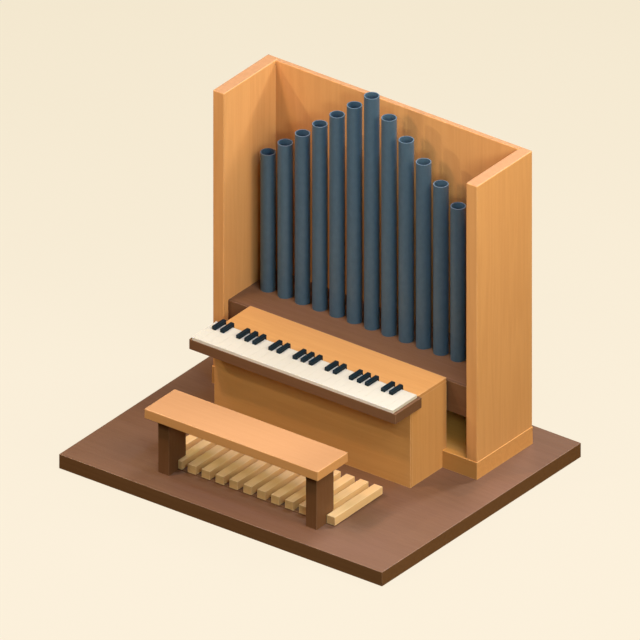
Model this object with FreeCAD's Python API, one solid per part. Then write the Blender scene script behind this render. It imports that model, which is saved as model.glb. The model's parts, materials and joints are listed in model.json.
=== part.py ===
import FreeCAD
import Part
import os

# A church organ on its own platform: an open-fronted case of thick boards with a row of open
# metal pipes on a windchest, a console with one manual, a pedalboard of thirteen hinged pedals
# and a bench. Millimetres, +Z up, front towards -Y, origin under the middle of the platform.

# ---- Platform ----
platform_width = 3230.0
platform_depth = 2654.0
platform_height = 128.0
organ_shift = -12.0

# ---- Case: plinth, two side panels and a back panel, open at the front and the top ----
plinth_width = 2652.0
plinth_depth = 747.0
plinth_height = 156.0
plinth_back_margin = 240.0
plinth_front_step = 8.0
plinth_side_step = 5.0
side_panel_thickness = 110.0
back_panel_thickness = 47.0
case_height = 2528.0

# ---- Windchest, hung between the side panels ----
windchest_setback = 59.0
windchest_lift = 336.0
windchest_height = 278.0
toe_board_thickness = 40.0
windchest_front_thickness = 30.0
windchest_floor_thickness = 30.0

# ---- Pipes ----
pipe_count = 13
pipe_pitch = 172.9
pipe_diameter = 125.0
pipe_wall = 8.0
shortest_pipe = 1256.0
pipe_length_step = 144.0
pipe_row_shift = -27.0
pipe_row_behind_front = 335.0

# ---- Console ----
console_width = 1962.0
console_height = 800.0
console_depth = 482.0
console_plinth_overlap = 55.0
console_board = 25.0
console_cheek_thickness = 40.0
console_lid_thickness = 30.0

# ---- Key shelf ----
shelf_width = 2064.0
shelf_overhang = 267.0
shelf_housing_depth = 83.0
shelf_thickness = 92.0
shelf_above_lid = 11.5

# ---- Manual: naturals and sharps ----
natural_count = 25
natural_pitch = 80.4
natural_length = 320.0
natural_height = 26.5
natural_front_margin = 3.0
natural_front_rounding = 4.0
key_gap = 1.0
sharp_width = 39.0
sharp_length = 149.0
sharp_above_naturals = 30.0
sharp_front_setback = 198.0
sharp_shift = -13.0
sharp_bevel = 4.5
naturals_per_octave = 7
boundaries_with_sharp = (1, 2, 4, 5, 6)

# ---- Pedalboard ----
pedal_count = 13
pedal_pitch = 139.0
pedal_width = 81.0
pedal_length = 636.0
pedal_top_height = 82.0
pedal_toe_y = -317.0
pedal_heel_clearance = 8.0
pedal_toe_clearance = 15.0
heel_rail_depth = 28.0
heel_rail_side_margin = 12.0
heel_seat_gap = 0.3

# ---- Bench ----
bench_seat_length = 1734.0
bench_seat_depth = 405.0
bench_seat_thickness = 88.0
bench_seat_height = 595.0
bench_front_y = -1171.0
bench_leg_thickness = 109.0
bench_leg_depth = 228.0
bench_leg_inset = 74.0
bench_leg_setback = 85.0
leg_pedal_clearance = 9.0

# ---- Edge rounding ----
board_rounding = 4.0
case_rounding = 9.0
seat_rounding = 7.0
pedal_rounding = 3.0

# ---- Levels and lines worked out from the sizes above ----
platform_top = platform_height
plinth_top = platform_top + plinth_height
case_top = plinth_top + case_height
case_back_y = platform_depth / 2 - plinth_back_margin
plinth_front_y = case_back_y - plinth_depth
case_front_y = plinth_front_y + plinth_front_step
side_panel_outer_x = plinth_width / 2 - plinth_side_step
side_panel_inner_x = side_panel_outer_x - side_panel_thickness
back_panel_front_y = case_back_y - back_panel_thickness

windchest_front_y = case_front_y + windchest_setback
windchest_bottom = plinth_top + windchest_lift
windchest_top = windchest_bottom + windchest_height
pipe_row_y = windchest_front_y + pipe_row_behind_front

console_back_y = plinth_front_y + console_plinth_overlap
console_front_y = console_back_y - console_depth
console_top = platform_top + console_height
lid_underside = console_top - console_lid_thickness
cheek_outer_x = console_width / 2
cheek_inner_x = cheek_outer_x - console_cheek_thickness
cheek_front_y = console_front_y + console_board

shelf_front_y = console_front_y - shelf_overhang
shelf_back_y = console_front_y + shelf_housing_depth
shelf_top = console_top + shelf_above_lid
shelf_underside = shelf_top - shelf_thickness

natural_front_y = shelf_front_y + natural_front_margin
natural_back_y = natural_front_y + natural_length
natural_top = shelf_top + natural_height
manual_left_x = -natural_count * natural_pitch / 2
sharp_front_y = natural_front_y + sharp_front_setback
sharp_back_y = sharp_front_y + sharp_length
sharp_top = natural_top + sharp_above_naturals

pedal_heel_y = pedal_toe_y - pedal_length
pedal_top = platform_top + pedal_top_height
pedal_heel_underside = platform_top + pedal_heel_clearance
pedal_toe_underside = platform_top + pedal_toe_clearance
heel_rail_front_y = pedal_heel_y + heel_rail_depth

bench_underside = platform_top + bench_seat_height - bench_seat_thickness
bench_top = platform_top + bench_seat_height
bench_back_y = bench_front_y + bench_seat_depth
leg_front_y = bench_front_y + bench_leg_setback
leg_back_y = leg_front_y + bench_leg_depth
leg_outer_x = bench_seat_length / 2 - bench_leg_inset
leg_inner_x = leg_outer_x - bench_leg_thickness


def export(name, shape):
    """Write one node's shape to its STEP file."""
    shape.exportStep("parts/" + name + ".step")


def export_organ(name, shape):
    """Write a piece of the organ, which stands a little to the left of the platform's middle."""
    export(name, shape.translated(FreeCAD.Vector(organ_shift, 0, 0)))


def box(low, high):
    """Box between two opposite corners."""
    size = [high[axis] - low[axis] for axis in range(3)]
    return Part.makeBox(size[0], size[1], size[2], FreeCAD.Vector(*low))


def lies_in(edge, axis, place):
    """True where both ends of an edge lie in the plane across an axis at a place."""
    tolerance = 0.001
    return all(abs(vertex.Point[axis] - place) < tolerance for vertex in edge.Vertexes)


def rounded(shape, radius, plain_planes=()):
    """Round a shape's edges, apart from those in the (axis, place) planes where it meets others."""
    edges = [
        edge
        for edge in shape.Edges
        if not any(lies_in(edge, axis, place) for axis, place in plain_planes)
    ]
    return shape.makeFillet(radius, edges)


def side_outline(points, x_low, x_high):
    """Solid with a (y, z) outline, running across between two x places."""
    corners = [FreeCAD.Vector(x_low, y, z) for y, z in points]
    face = Part.Face(Part.makePolygon(corners + corners[:1]))
    return face.extrude(FreeCAD.Vector(x_high - x_low, 0, 0))


def mirrored(shape):
    """The same piece on the other side of the middle plane."""
    return shape.mirror(FreeCAD.Vector(0, 0, 0), FreeCAD.Vector(1, 0, 0))


# ---- Platform and case ----


def make_platform():
    low = (-platform_width / 2, -platform_depth / 2, 0)
    high = (platform_width / 2, platform_depth / 2, platform_top)
    return rounded(box(low, high), board_rounding, [(2, 0)])


def make_case_plinth():
    low = (-plinth_width / 2, plinth_front_y, platform_top)
    high = (plinth_width / 2, case_back_y, plinth_top)
    return rounded(box(low, high), board_rounding, [(2, platform_top)])


def make_right_side_panel():
    low = (side_panel_inner_x, case_front_y, plinth_top)
    high = (side_panel_outer_x, case_back_y, case_top)
    return rounded(box(low, high), case_rounding, [(2, plinth_top)])


def make_back_panel():
    low = (-side_panel_inner_x, back_panel_front_y, plinth_top)
    high = (side_panel_inner_x, case_back_y, case_top)
    plain_planes = [(2, plinth_top), (0, -side_panel_inner_x), (0, side_panel_inner_x)]
    return rounded(box(low, high), case_rounding, plain_planes)


# ---- Windchest ----


def windchest_board(y_low, y_high, z_low, z_high):
    """Board of the windchest, from one side panel to the other."""
    return box((-side_panel_inner_x, y_low, z_low), (side_panel_inner_x, y_high, z_high))


def make_windchest_front():
    back_y = windchest_front_y + windchest_front_thickness
    board = windchest_board(windchest_front_y, back_y, windchest_bottom, windchest_top)
    plain_planes = [(0, -side_panel_inner_x), (0, side_panel_inner_x), (1, back_y)]
    return rounded(board, board_rounding, plain_planes)


def make_toe_board():
    front_y = windchest_front_y + windchest_front_thickness
    return windchest_board(front_y, back_panel_front_y, windchest_top - toe_board_thickness, windchest_top)


def make_windchest_floor():
    front_y = windchest_front_y + windchest_front_thickness
    floor_top = windchest_bottom + windchest_floor_thickness
    return windchest_board(front_y, back_panel_front_y, windchest_bottom, floor_top)


# ---- Pipes: lengths rise to the middle pipe and fall again ----


def make_pipe(index):
    middle = (pipe_count - 1) / 2
    steps_up = middle - abs(index - middle)
    length = shortest_pipe + steps_up * pipe_length_step
    foot = FreeCAD.Vector(pipe_row_shift + (index - middle) * pipe_pitch, pipe_row_y, windchest_top)
    tube = Part.makeCylinder(pipe_diameter / 2, length, foot)
    bore = Part.makeCylinder(pipe_diameter / 2 - pipe_wall, length, foot)
    return tube.cut(bore)


# ---- Console: its cheeks step over the plinth at the back and carry the shelf at the front ----


def make_right_console_cheek():
    outline = [
        (cheek_front_y, platform_top),
        (plinth_front_y, platform_top),
        (plinth_front_y, plinth_top),
        (console_back_y, plinth_top),
        (console_back_y, lid_underside),
        (shelf_back_y, lid_underside),
        (shelf_back_y, shelf_underside),
        (cheek_front_y, shelf_underside),
    ]
    return side_outline(outline, cheek_inner_x, cheek_outer_x)


def make_console_front():
    low = (-cheek_outer_x, console_front_y, platform_top)
    high = (cheek_outer_x, cheek_front_y, shelf_underside)
    plain_planes = [(1, cheek_front_y), (2, platform_top), (2, shelf_underside)]
    return rounded(box(low, high), board_rounding, plain_planes)


def make_console_back():
    low = (-cheek_inner_x, console_back_y - console_board, plinth_top)
    return box(low, (cheek_inner_x, console_back_y, lid_underside))


def make_console_lid():
    low = (-cheek_outer_x, shelf_back_y, lid_underside)
    high = (cheek_outer_x, console_back_y, console_top)
    return rounded(box(low, high), board_rounding, [(1, shelf_back_y), (2, lid_underside)])


def make_key_shelf():
    low = (-shelf_width / 2, shelf_front_y, shelf_underside)
    return rounded(box(low, (shelf_width / 2, shelf_back_y, shelf_top)), board_rounding)


# ---- Manual ----


def sharp_boundaries():
    """Numbers of the gaps between naturals that carry a sharp, counted from the left end."""
    return [
        boundary
        for boundary in range(1, natural_count)
        if boundary % naturals_per_octave in boundaries_with_sharp
    ]


def sharp_x(boundary):
    return manual_left_x + boundary * natural_pitch + sharp_shift


def sharp_block(boundary, grow):
    """Block of one sharp, larger by a clearance all round when it cuts the naturals."""
    middle_x = sharp_x(boundary)
    low = (middle_x - sharp_width / 2 - grow, sharp_front_y - grow, shelf_top)
    high = (middle_x + sharp_width / 2 + grow, sharp_back_y + grow, sharp_top)
    return box(low, high)


def make_natural(index, cuts):
    left_x = manual_left_x + index * natural_pitch
    low = (left_x + key_gap / 2, natural_front_y, shelf_top)
    high = (left_x + natural_pitch - key_gap / 2, natural_back_y, natural_top)
    key = box(low, high)
    front_edges = [edge for edge in key.Edges if lies_in(edge, 1, natural_front_y)]
    top_edge = [edge for edge in front_edges if lies_in(edge, 2, natural_top)]
    return key.makeFillet(natural_front_rounding, top_edge).cut(cuts)


def make_natural_keys():
    cuts = Part.makeCompound([sharp_block(boundary, key_gap) for boundary in sharp_boundaries()])
    return Part.makeCompound([make_natural(index, cuts) for index in range(natural_count)])


def make_sharp(boundary):
    block = sharp_block(boundary, 0)
    return block.makeChamfer(sharp_bevel, [edge for edge in block.Edges if not lies_in(edge, 2, shelf_top)])


def make_sharp_keys():
    return Part.makeCompound([make_sharp(boundary) for boundary in sharp_boundaries()])


# ---- Pedalboard: each pedal rocks on the front edge of the heel rail ----


def pedal_x(index):
    return (index - (pedal_count - 1) / 2) * pedal_pitch


def make_pedal(index):
    low_x = pedal_x(index) - pedal_width / 2
    outline = [
        (pedal_heel_y, pedal_heel_underside),
        (heel_rail_front_y, pedal_heel_underside),
        (pedal_toe_y, pedal_toe_underside),
        (pedal_toe_y, pedal_top),
        (pedal_heel_y, pedal_top),
    ]
    bar = side_outline(outline, low_x, low_x + pedal_width)
    top_edges = [edge for edge in bar.Edges if lies_in(edge, 2, pedal_top)]
    return bar.makeFillet(pedal_rounding, top_edges)


def make_pedal_heel_rail():
    half_width = pedal_x(pedal_count - 1) + pedal_width / 2 - heel_rail_side_margin
    low = (-half_width, pedal_heel_y, platform_top)
    return box(low, (half_width, heel_rail_front_y, pedal_heel_underside - heel_seat_gap))


# ---- Bench ----


def make_bench_seat():
    low = (-bench_seat_length / 2, bench_front_y, bench_underside)
    high = (bench_seat_length / 2, bench_back_y, bench_top)
    return rounded(box(low, high), seat_rounding)


def make_right_bench_leg():
    """Leg board whose back foot narrows to a tongue that stands between the last two pedals."""
    board = box((leg_inner_x, leg_front_y, platform_top), (leg_outer_x, leg_back_y, bench_underside))
    board = rounded(board, board_rounding, [(2, platform_top), (2, bench_underside)])
    last = pedal_count - 1
    cut_front_y = pedal_heel_y - leg_pedal_clearance
    cut_top = pedal_top + leg_pedal_clearance
    for index in (last - 1, last):
        half_width = pedal_width / 2 + leg_pedal_clearance
        low = (pedal_x(index) - half_width, cut_front_y, platform_top)
        high = (pedal_x(index) + half_width, leg_back_y, cut_top)
        board = board.cut(box(low, high))
    rail_low = (leg_inner_x, cut_front_y, platform_top)
    rail_cut_top = pedal_heel_underside + leg_pedal_clearance
    rail_high = (leg_outer_x, heel_rail_front_y + leg_pedal_clearance, rail_cut_top)
    return board.cut(box(rail_low, rail_high))


def main():
    os.makedirs("parts", exist_ok=True)
    export("platform", make_platform())
    export_organ("case_plinth", make_case_plinth())
    export_organ("right_side_panel", make_right_side_panel())
    export_organ("left_side_panel", mirrored(make_right_side_panel()))
    export_organ("back_panel", make_back_panel())
    export_organ("windchest_front", make_windchest_front())
    export_organ("windchest_toe_board", make_toe_board())
    export_organ("windchest_floor", make_windchest_floor())
    for index in range(pipe_count):
        export_organ("pipe_{:02d}".format(index + 1), make_pipe(index))
    export_organ("console_right_cheek", make_right_console_cheek())
    export_organ("console_left_cheek", mirrored(make_right_console_cheek()))
    export_organ("console_front_panel", make_console_front())
    export_organ("console_back_panel", make_console_back())
    export_organ("console_lid", make_console_lid())
    export_organ("key_shelf", make_key_shelf())
    export_organ("natural_keys", make_natural_keys())
    export_organ("sharp_keys", make_sharp_keys())
    export_organ("pedal_heel_rail", make_pedal_heel_rail())
    for index in range(pedal_count):
        export_organ("pedal_{:02d}".format(index + 1), make_pedal(index))
    export_organ("bench_seat", make_bench_seat())
    export_organ("bench_right_leg", make_right_bench_leg())
    export_organ("bench_left_leg", mirrored(make_right_bench_leg()))


main()
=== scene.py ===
from collections import namedtuple
import json
import math

import bpy
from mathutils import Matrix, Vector


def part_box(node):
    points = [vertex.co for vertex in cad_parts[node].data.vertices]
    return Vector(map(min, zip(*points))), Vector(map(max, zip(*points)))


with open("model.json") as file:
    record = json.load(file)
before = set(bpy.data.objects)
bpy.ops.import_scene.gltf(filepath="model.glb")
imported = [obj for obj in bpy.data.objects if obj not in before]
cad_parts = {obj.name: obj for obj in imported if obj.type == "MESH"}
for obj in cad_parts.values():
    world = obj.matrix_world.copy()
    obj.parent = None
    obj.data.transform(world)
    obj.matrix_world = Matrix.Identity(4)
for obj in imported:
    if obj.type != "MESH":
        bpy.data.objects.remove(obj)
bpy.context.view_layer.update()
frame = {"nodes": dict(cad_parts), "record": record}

# ---- Tints that a colour is multiplied by on some faces ----
NO_TINT = (1.0, 1.0, 1.0)
END_GRAIN_TINT = (0.95, 0.93, 0.90)
# End grain, which on the upright case boards is their tops, together with a painted sheen that pales those
# tops.
CASE_END_GRAIN_AND_PAINTED_SHEEN_TINT = (0.66, 0.69, 0.93)
# Painted sheen: the seat's top paled as by light on it.
SEAT_TOP_PAINTED_SHEEN_TINT = (0.70, 0.72, 0.89)
# The plinth's end tint lifts its painted shade back to the case colour; its top tint is painted light.
PLINTH_END_SHADE_LIFT_TINT = (1.30, 1.26, 1.40)
PLINTH_TOP_PAINTED_LIGHT_TINT = (1.50, 1.40, 1.10)
# Painted sheen: the platform's top lighter and paler, as by a bright reflection.
PLATFORM_TOP_PAINTED_SHEEN_TINT = (1.033, 1.098, 1.64)
# Painted light: the fronts of the keys lighter than their shade would leave them.
KEY_FRONT_PAINTED_LIGHT_TINT = (1.19, 1.20, 1.27)

# ---- Wood finishes, in linear colours ----
# Light and dark grain, edges lighter with wear and a painted highlight, how strongly the grain shows, gloss,
# and the tints of a board's ends (end grain, on the case with painted sheen, on the plinth lifting its
# painted shade) and of its faces that look up (painted light).
WoodFinish = namedtuple(
    "WoodFinish", "light dark wear contrast specular ends top", defaults=(0.8, 0.2, END_GRAIN_TINT, NO_TINT)
)
# The third colour of each finish, like BROWN_WEAR_AND_HIGHLIGHT, is edge wear together with a painted edge
# highlight.
BROWN_WEAR_AND_HIGHLIGHT = (0.240, 0.125, 0.068)
CASE = WoodFinish(
    (0.680, 0.325, 0.104), (0.585, 0.262, 0.078), (0.730, 0.375, 0.145), contrast=0.6, ends=CASE_END_GRAIN_AND_PAINTED_SHEEN_TINT
)
# Case wood painted darker, as shade on the plinth's front beside the console; its ends get that shade
# lifted, its top painted light.
PLINTH_PAINTED_SHADE = WoodFinish(
    (0.520, 0.250, 0.066), (0.447, 0.202, 0.050), (0.620, 0.330, 0.120), contrast=0.6,
    ends=PLINTH_END_SHADE_LIFT_TINT, top=PLINTH_TOP_PAINTED_LIGHT_TINT,
)
CONSOLE = WoodFinish((0.615, 0.300, 0.092), (0.540, 0.248, 0.071), (0.660, 0.360, 0.150), contrast=0.6)
SEAT = WoodFinish(
    (0.705, 0.340, 0.112), (0.620, 0.285, 0.088), (0.780, 0.430, 0.190), contrast=0.4, top=SEAT_TOP_PAINTED_SHEEN_TINT
)
PLATFORM = WoodFinish(
    (0.180, 0.082, 0.028), (0.153, 0.066, 0.021), BROWN_WEAR_AND_HIGHLIGHT, specular=0.5, top=PLATFORM_TOP_PAINTED_SHEEN_TINT
)
# Dark brown painted darker as shade, on the windchest's front inside the case.
WINDCHEST_FRONT_PAINTED_SHADE = WoodFinish((0.160, 0.076, 0.033), (0.136, 0.061, 0.025), BROWN_WEAR_AND_HIGHLIGHT)
LEG = WoodFinish((0.174, 0.077, 0.030), (0.150, 0.063, 0.022), BROWN_WEAR_AND_HIGHLIGHT)
DARK_BROWN = WoodFinish((0.188, 0.090, 0.040), (0.160, 0.072, 0.030), BROWN_WEAR_AND_HIGHLIGHT)
MAPLE = WoodFinish((0.840, 0.535, 0.228), (0.755, 0.458, 0.178), (0.890, 0.620, 0.310), specular=0.5)

WOODS_BY_NODE = {"case_plinth": PLINTH_PAINTED_SHADE, "windchest_front": WINDCHEST_FRONT_PAINTED_SHADE}
WOODS_BY_SLOT = {
    "case_wood": CASE,
    "console_wood": CONSOLE,
    "seat_wood": SEAT,
    "platform_wood": PLATFORM,
    "leg_wood": LEG,
    "pedal_wood": MAPLE,
}

# ---- Key coverings: main and second colour, roughness, gloss ----
KeyFinish = namedtuple("KeyFinish", "main other roughness specular")
KEYS_BY_SLOT = {
    "natural_key": KeyFinish((0.612, 0.560, 0.432), (0.606, 0.550, 0.422), 0.40, 0.40),
    "sharp_key": KeyFinish((0.003, 0.010, 0.014), (0.007, 0.017, 0.023), 0.45, 0.12),
}

# ---- Pipes and backdrop ----
PIPE_METAL = (0.075, 0.132, 0.174)
PIPE_METAL_DULL = (0.064, 0.113, 0.149)
# The rim colour is bright cut metal with a painted rim highlight.
PIPE_RIM_CUT_AND_HIGHLIGHT = (0.115, 0.165, 0.195)
PAPER_NEAR = (0.955, 0.858, 0.695)
PAPER_FAR = (0.890, 0.795, 0.612)
PAPER_BEHIND = (0.950, 0.850, 0.680)

# ---- Studio lamps: azimuth from the front towards +X, elevation and width in degrees, red green blue ----
Lamp = namedtuple("Lamp", "name azimuth elevation width colour")
LAMP_DISTANCE = 11.0
LAMPS = (
    Lamp("key_front_left", -31.7, 54.5, 4.0, (1.100, 0.815, 0.625)),
    Lamp("low_front_left", -38.6, 36.3, 1.5, (0.620, 0.620, 0.530)),
    Lamp("side_left", -60.0, 60.0, 12.0, (0.609, 0.488, 0.839)),
    Lamp("soft_box_left", -90.0, 45.0, 30.0, (0.517, 0.598, 0.185)),
    Lamp("back_right", 155.0, 48.0, 8.0, (1.464, 1.565, 1.753)),
    Lamp("back_high", 175.0, 60.0, 14.0, (1.288, 1.400, 1.630)),
    Lamp("high_right", 60.0, 70.0, 10.0, (0.160, 0.437, 1.100)),
    Lamp("low_front_right", 45.0, 27.0, 10.0, (0.714, 0.892, 0.890)),
    Lamp("soft_box_right", 75.0, 45.0, 30.0, (2.150, 1.990, 1.790)),
    Lamp("low_right", 90.0, 25.0, 14.0, (0.600, 0.550, 0.430)),
)
AMBIENT = (0.088, 0.046, 0.010)

# ---- Camera: parallel projection from the front right, above ----
CAMERA_AZIMUTH = 36.87
CAMERA_ELEVATION = 29.25
CAMERA_TARGET = Vector((0.0, 0.0, 1.306))
CAMERA_DISTANCE = 12.0
CAMERA_WIDTH = 5.12
CAMERA_REACH = 200.0

# ---- Floor: its glow is painted light that fades from near to far over PAPER_REACH, in metres behind the organ ----
FLOOR_DROP = 0.001
FLOOR_HALF_SIZE = 40.0
PAPER_REACH = (-0.5, 12.5)
PAPER_MOTTLE_SCALE = 0.25
PAPER_MOTTLE_REACH = 3.0
PAPER_SHADOW = 0.02


def direction(azimuth, elevation):
    """Unit vector from the organ towards a place seen at an azimuth and elevation, in degrees."""
    turn = math.radians(azimuth)
    rise = math.radians(elevation)
    return Vector((math.sin(turn) * math.cos(rise), -math.cos(turn) * math.cos(rise), math.sin(rise)))


# ---- Node helpers ----


def node(tree, kind, values=None, **settings):
    """Add a node, set its properties, then set or link its inputs."""
    made = tree.nodes.new(kind)
    for key, value in settings.items():
        setattr(made, key, value)
    for name, value in (values or {}).items():
        if isinstance(value, bpy.types.NodeSocket):
            tree.links.new(value, made.inputs[name])
        else:
            made.inputs[name].default_value = value
    return made


def maths(tree, operation, first, second=0.0):
    return node(tree, "ShaderNodeMath", {0: first, 1: second}, operation=operation).outputs[0]


def weighted_sum(tree, *terms):
    """Sum of values, each times its share."""
    scaled = [maths(tree, "MULTIPLY", value, share) for value, share in terms]
    total = scaled[0]
    for term in scaled[1:]:
        total = maths(tree, "ADD", total, term)
    return total


def vector_maths(tree, operation, first, second):
    return node(tree, "ShaderNodeVectorMath", {0: first, 1: second}, operation=operation).outputs["Vector"]


def separated(tree, vector):
    """The X, Y and Z of a vector, as outputs with those names."""
    return node(tree, "ShaderNodeSeparateXYZ", {"Vector": vector}).outputs


def blend_colours(tree, factor, first, second):
    """Mix of two colours; each may be a socket or a linear colour."""
    mixer = node(tree, "ShaderNodeMix", {"Factor": factor}, data_type="RGBA")
    for name, colour in (("A", first), ("B", second)):
        socket = [s for s in mixer.inputs if s.name == name and s.type == "RGBA"][0]
        if isinstance(colour, bpy.types.NodeSocket):
            tree.links.new(colour, socket)
        else:
            socket.default_value = (*colour, 1.0)
    return [s for s in mixer.outputs if s.type == "RGBA"][0]


def remap(tree, value, source, target=(0.0, 1.0)):
    """Value from one range to another, clamped, with soft ends."""
    limits = {
        "Value": value,
        "From Min": source[0],
        "From Max": source[1],
        "To Min": target[0],
        "To Max": target[1],
    }
    return node(tree, "ShaderNodeMapRange", limits, interpolation_type="SMOOTHSTEP").outputs["Result"]


def noise(tree, place, scale, detail=2.0, roughness=0.5):
    values = {"Vector": place, "Scale": scale, "Detail": detail, "Roughness": roughness}
    return node(tree, "ShaderNodeTexNoise", values).outputs["Fac"]


def stretched(tree, place, stretch, offset):
    """Coordinates scaled by axis and shifted, so that each board shows its own stretch of grain."""
    values = {"Vector": place, "Scale": stretch, "Location": offset}
    return node(tree, "ShaderNodeMapping", values).outputs["Vector"]


def bump(tree, height, strength, distance):
    values = {"Height": height, "Strength": strength, "Distance": distance}
    return node(tree, "ShaderNodeBump", values).outputs["Normal"]


def new_material(name):
    """A material with its empty node tree, and the place and the normal in the piece's own frame."""
    material = bpy.data.materials.new(name)
    material.use_nodes = True
    tree = material.node_tree
    tree.nodes.clear()
    coordinates = node(tree, "ShaderNodeTexCoord").outputs
    return material, tree, coordinates["Object"], coordinates["Normal"]


def finish_material(tree, shader):
    node(tree, "ShaderNodeOutputMaterial", {"Surface": shader.outputs[0]})


# ---- What several materials share ----

NOISE_MIDDLE = (0.3, 0.7)
FACING_RANGE = (0.6, 0.9)
OFFSET_CYCLES = ((17, 0.37), (23, 0.41), (29, 0.31))


def board_offset(name):
    """A fixed shift of the grain for each board, worked out from the letters of its name."""
    total = sum((index + 1) * ord(letter) for index, letter in enumerate(name))
    return tuple(total % cycle * step for cycle, step in OFFSET_CYCLES)


def tinted_faces(tree, colour, facing, tint):
    """Colour, times a tint where a face looks nearly straight along the axis that facing measures."""
    squarely = remap(tree, facing, FACING_RANGE)
    return blend_colours(tree, squarely, colour, vector_maths(tree, "MULTIPLY", colour, tint))


def edge_mask(tree, place, corners, width, ragged):
    """1 along the edges of a box, given by its two corners, falling to 0 at a width from them."""
    from_low = vector_maths(tree, "SUBTRACT", place, corners[0])
    from_high = vector_maths(tree, "SUBTRACT", corners[1], place)
    nearest = separated(tree, vector_maths(tree, "MINIMUM", from_low, from_high))
    smaller = maths(tree, "MINIMUM", nearest["X"], nearest["Y"])
    larger = maths(tree, "MAXIMUM", nearest["X"], nearest["Y"])
    middle = maths(tree, "MAXIMUM", smaller, maths(tree, "MINIMUM", larger, nearest["Z"]))
    wobble = maths(tree, "MULTIPLY", maths(tree, "SUBTRACT", ragged, 0.5), width)
    return remap(tree, maths(tree, "ADD", middle, wobble), (0.0, width), (1.0, 0.0))


# ---- Wood ----

GRAIN_ALONG = 0.045
FIGURE_SCALE = 4.5
STREAK_SCALE = 34.0
FIBRE_SCALE = 260.0
PORE_SCALE = 520.0
RING_SCALE = 9.0
RING_WAVER = 0.12
STREAK_SHARE = 0.45
RING_SHARE = 0.55
FIBRE_SHARE = 0.28
TONE_RANGE = (0.22, 0.85)
# Width and strength of the lighter edges: wear together with a painted highlight.
WEAR_AND_HIGHLIGHT_WIDTH = 0.006
WEAR_AND_HIGHLIGHT_STRENGTH = 0.75
FIBRE_HEIGHT = 0.6
PORE_HEIGHT = 0.4
GRAIN_BUMP_STRENGTH = 0.25
GRAIN_BUMP_DEPTH = 0.0006
WOOD_ROUGHNESS = (0.41, 0.53)


def wood(name, finish, axis, corners):
    """Oiled wood with fibres, streaks and faint growth rings along one axis, tinted on its ends and tops,
    partly with painted light, and lighter along the edges with wear and a painted highlight.
    """
    material, tree, place, normal = new_material(name)
    stretch = [1.0, 1.0, 1.0]
    stretch["XYZ".index(axis)] = GRAIN_ALONG
    along = stretched(tree, place, stretch, board_offset(name))
    figure = noise(tree, along, FIGURE_SCALE, detail=3.0)
    streaks = noise(tree, along, STREAK_SCALE, detail=4.0, roughness=0.6)
    fibres = noise(tree, along, FIBRE_SCALE, detail=3.0, roughness=0.65)
    pores = noise(tree, along, PORE_SCALE)
    waver = maths(tree, "MULTIPLY", streaks, RING_WAVER)
    ring_place = maths(tree, "MULTIPLY", maths(tree, "ADD", figure, waver), RING_SCALE)
    rings = maths(tree, "PINGPONG", ring_place, 0.5)
    tone = weighted_sum(tree, (streaks, STREAK_SHARE), (rings, RING_SHARE), (fibres, FIBRE_SHARE))
    darkness = remap(tree, tone, TONE_RANGE, (0.0, finish.contrast))
    colour = blend_colours(tree, darkness, finish.light, finish.dark)
    facing = separated(tree, normal)
    # End tint: end grain, with painted sheen on the case tops and the plinth's painted shade lifted.
    colour = tinted_faces(tree, colour, maths(tree, "ABSOLUTE", facing[axis]), finish.ends)
    # Top tint: painted light, sheen on the seat and platform tops, a lit top on the plinth.
    if finish.top != NO_TINT:
        colour = tinted_faces(tree, colour, facing["Z"], finish.top)
    # Lighter edges: partly wear, partly a painted highlight of the rounded edges.
    worn_and_highlit_edges = edge_mask(tree, place, corners, WEAR_AND_HIGHLIGHT_WIDTH, streaks)
    height = weighted_sum(tree, (fibres, FIBRE_HEIGHT), (pores, PORE_HEIGHT))
    values = {
        "Base Color": blend_colours(tree, maths(tree, "MULTIPLY", worn_and_highlit_edges, WEAR_AND_HIGHLIGHT_STRENGTH), colour, finish.wear),
        "Roughness": remap(tree, fibres, NOISE_MIDDLE, WOOD_ROUGHNESS),
        "Normal": bump(tree, height, GRAIN_BUMP_STRENGTH, GRAIN_BUMP_DEPTH),
        "Specular IOR Level": finish.specular,
    }
    finish_material(tree, node(tree, "ShaderNodeBsdfPrincipled", values))
    return material


# ---- Organ metal ----

DRAWN_STRETCH = (1.0, 1.0, 0.01)
DRAWN_SCALE = 420.0
DRAWN_SHARE = 0.35
MOTTLE_STRETCH = (1.0, 1.0, 0.6)
MOTTLE_SCALE = 28.0
MOTTLE_SHARE = 0.65
# The lighter band at the top of a pipe: the bright cut rim with a painted rim highlight.
RIM_START = 0.003
RIM_FULL = 0.0005
RIM_STRENGTH = 0.8
METALLIC = 0.25
METAL_ROUGHNESS = (0.40, 0.50)
METAL_BUMP_STRENGTH = 0.12
METAL_BUMP_DEPTH = 0.0004


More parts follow.
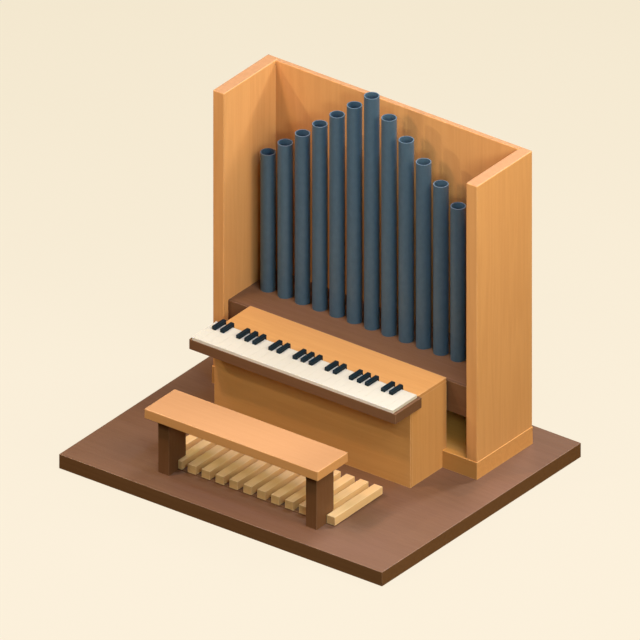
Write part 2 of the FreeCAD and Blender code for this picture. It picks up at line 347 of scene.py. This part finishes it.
def organ_metal(name, corners):
    """Dull blue-grey organ metal: drawn lines along the tube, soft mottling and a rim lighter as bright cut
    metal with a painted highlight.
    """
    material, tree, place, _ = new_material(name)
    offset = board_offset(name)
    along = stretched(tree, place, DRAWN_STRETCH, offset)
    drawn = noise(tree, along, DRAWN_SCALE, detail=3.0)
    patches = stretched(tree, place, MOTTLE_STRETCH, offset)
    mottle = noise(tree, patches, MOTTLE_SCALE, detail=4.0, roughness=0.6)
    tone = weighted_sum(tree, (drawn, DRAWN_SHARE), (mottle, MOTTLE_SHARE))
    colour = blend_colours(tree, remap(tree, tone, NOISE_MIDDLE), PIPE_METAL, PIPE_METAL_DULL)
    top = corners[1].z
    cut_rim_and_highlight = remap(tree, separated(tree, place)["Z"], (top - RIM_START, top - RIM_FULL))
    values = {
        "Base Color": blend_colours(tree, maths(tree, "MULTIPLY", cut_rim_and_highlight, RIM_STRENGTH), colour, PIPE_RIM_CUT_AND_HIGHLIGHT),
        "Metallic": METALLIC,
        "Roughness": remap(tree, tone, NOISE_MIDDLE, METAL_ROUGHNESS),
        "Normal": bump(tree, tone, METAL_BUMP_STRENGTH, METAL_BUMP_DEPTH),
    }
    finish_material(tree, node(tree, "ShaderNodeBsdfPrincipled", values))
    return material


# ---- Key coverings ----

KEY_GRAIN_STRETCH = (1.0, 0.06, 1.0)
KEY_GRAIN_SCALE = 160.0
KEY_CLOUD_SCALE = 14.0
KEY_GRAIN_SHARE = 0.5
KEY_CLOUD_SHARE = 0.5
KEY_TONE_RANGE = (0.2, 0.8)
KEY_SMOOTHER = 0.04
KEY_ROUGHER = 0.05
KEY_BUMP_STRENGTH = 0.05
KEY_BUMP_DEPTH = 0.0002


def key_covering(name, finish):
    """Satin key covering with the faint long grain of ivory or ebony, with painted light brightening the
    keys' fronts.
    """
    material, tree, place, normal = new_material(name)
    along = stretched(tree, place, KEY_GRAIN_STRETCH, board_offset(name))
    grain = noise(tree, along, KEY_GRAIN_SCALE, detail=3.0)
    clouds = noise(tree, place, KEY_CLOUD_SCALE)
    tone = weighted_sum(tree, (grain, KEY_GRAIN_SHARE), (clouds, KEY_CLOUD_SHARE))
    colour = blend_colours(tree, remap(tree, tone, KEY_TONE_RANGE), finish.main, finish.other)
    # Where the keys face front and back, their colour gets painted light.
    front = maths(tree, "ABSOLUTE", separated(tree, normal)["Y"])
    roughness = (finish.roughness - KEY_SMOOTHER, finish.roughness + KEY_ROUGHER)
    values = {
        "Base Color": tinted_faces(tree, colour, front, KEY_FRONT_PAINTED_LIGHT_TINT),
        "Roughness": remap(tree, clouds, NOISE_MIDDLE, roughness),
        "Normal": bump(tree, grain, KEY_BUMP_STRENGTH, KEY_BUMP_DEPTH),
        "Specular IOR Level": finish.specular,
    }
    finish_material(tree, node(tree, "ShaderNodeBsdfPrincipled", values))
    return material


# ---- Which finish goes on which piece ----

UPRIGHT_BOARDS = {
    "left_side_panel",
    "right_side_panel",
    "back_panel",
    "bench_left_leg",
    "bench_right_leg",
    "console_left_cheek",
    "console_right_cheek",
}


def grain_axis(node_name, slot_name):
    if slot_name == "pedal_wood":
        return "Y"
    return "Z" if node_name in UPRIGHT_BOARDS else "X"


def material_for(node_name, slot_name):
    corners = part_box(node_name)
    name = node_name + "_" + slot_name
    if slot_name == "pipe_metal":
        return organ_metal(name, corners)
    if slot_name in KEYS_BY_SLOT:
        return key_covering(name, KEYS_BY_SLOT[slot_name])
    finish = WOODS_BY_NODE.get(node_name) or WOODS_BY_SLOT.get(slot_name, DARK_BROWN)
    return wood(name, finish, grain_axis(node_name, slot_name), corners)


def paint_parts():
    for part in frame["record"]["subparts"]:
        mesh = frame["nodes"][part["node"]].data
        mesh.materials.clear()
        mesh.materials.append(material_for(part["node"], part["material_slot"]))


# ---- Stage ----


def backdrop_paper(name):
    """Cream studio paper that glows with its own pale light, painted darker further back, and takes only a
    faint shadow.
    """
    material, tree, place, _ = new_material(name)
    away = -direction(CAMERA_AZIMUTH, 0.0)
    reach = node(tree, "ShaderNodeVectorMath", {0: place, 1: away}, operation="DOT_PRODUCT").outputs["Value"]
    mottle = noise(tree, place, PAPER_MOTTLE_SCALE, detail=1.0)
    distance = maths(tree, "ADD", reach, maths(tree, "MULTIPLY", mottle, PAPER_MOTTLE_REACH))
    # Painted light: the glowing paper darkens from near to far, in patches.
    colour = blend_colours(tree, remap(tree, distance, PAPER_REACH), PAPER_NEAR, PAPER_FAR)
    glow = node(tree, "ShaderNodeEmission", {"Color": colour, "Strength": 1.0})
    paper = node(tree, "ShaderNodeBsdfDiffuse", {"Color": colour})
    shaders = {0: PAPER_SHADOW, 1: glow.outputs[0], 2: paper.outputs[0]}
    finish_material(tree, node(tree, "ShaderNodeMixShader", shaders))
    return material


def make_floor():
    sides = ((-1, -1), (1, -1), (1, 1), (-1, 1))
    corners = [(x * FLOOR_HALF_SIZE, y * FLOOR_HALF_SIZE, -FLOOR_DROP) for x, y in sides]
    mesh = bpy.data.meshes.new("floor")
    mesh.from_pydata(corners, [], [(0, 1, 2, 3)])
    floor = bpy.data.objects.new("floor", mesh)
    bpy.context.scene.collection.objects.link(floor)
    mesh.materials.append(backdrop_paper("backdrop_paper"))
    floor.visible_diffuse = False
    floor.visible_glossy = False


def place_looking_in(thing, back, distance):
    """Put a lamp or camera at a distance from the middle of the organ, turned towards it."""
    thing.location = CAMERA_TARGET + back * distance
    thing.rotation_mode = "QUATERNION"
    thing.rotation_quaternion = (-back).to_track_quat("-Z", "Y")
    bpy.context.scene.collection.objects.link(thing)


def make_lamps():
    """Round lamps about the organ, each as bright on its middle as a sun lamp of the colour in the table."""
    for lamp in LAMPS:
        brightest = max(lamp.colour)
        data = bpy.data.lights.new(lamp.name, "AREA")
        data.shape = "DISK"
        data.size = 2.0 * LAMP_DISTANCE * math.tan(math.radians(lamp.width / 2.0))
        data.energy = brightest * math.pi * LAMP_DISTANCE**2
        data.color = [channel / brightest for channel in lamp.colour]
        back = direction(lamp.azimuth, lamp.elevation)
        place_looking_in(bpy.data.objects.new(lamp.name, data), back, LAMP_DISTANCE)


def make_world():
    """A little warm light from everywhere; the camera sees the backdrop's own colour."""
    world = bpy.data.worlds.new("studio")
    world.use_nodes = True
    tree = world.node_tree
    tree.nodes.clear()
    seen = node(tree, "ShaderNodeLightPath").outputs["Is Camera Ray"]
    colour = blend_colours(tree, seen, AMBIENT, PAPER_BEHIND)
    background = node(tree, "ShaderNodeBackground", {"Color": colour, "Strength": 1.0})
    node(tree, "ShaderNodeOutputWorld", {"Surface": background.outputs[0]})
    bpy.context.scene.world = world


def make_camera():
    data = bpy.data.cameras.new("camera")
    data.type = "ORTHO"
    data.ortho_scale = CAMERA_WIDTH
    data.clip_end = CAMERA_REACH
    camera = bpy.data.objects.new("camera", data)
    place_looking_in(camera, direction(CAMERA_AZIMUTH, CAMERA_ELEVATION), CAMERA_DISTANCE)
    bpy.context.scene.camera = camera


paint_parts()
make_floor()
make_world()
make_lamps()
make_camera()
bpy.context.scene.view_settings.view_transform = "Standard"
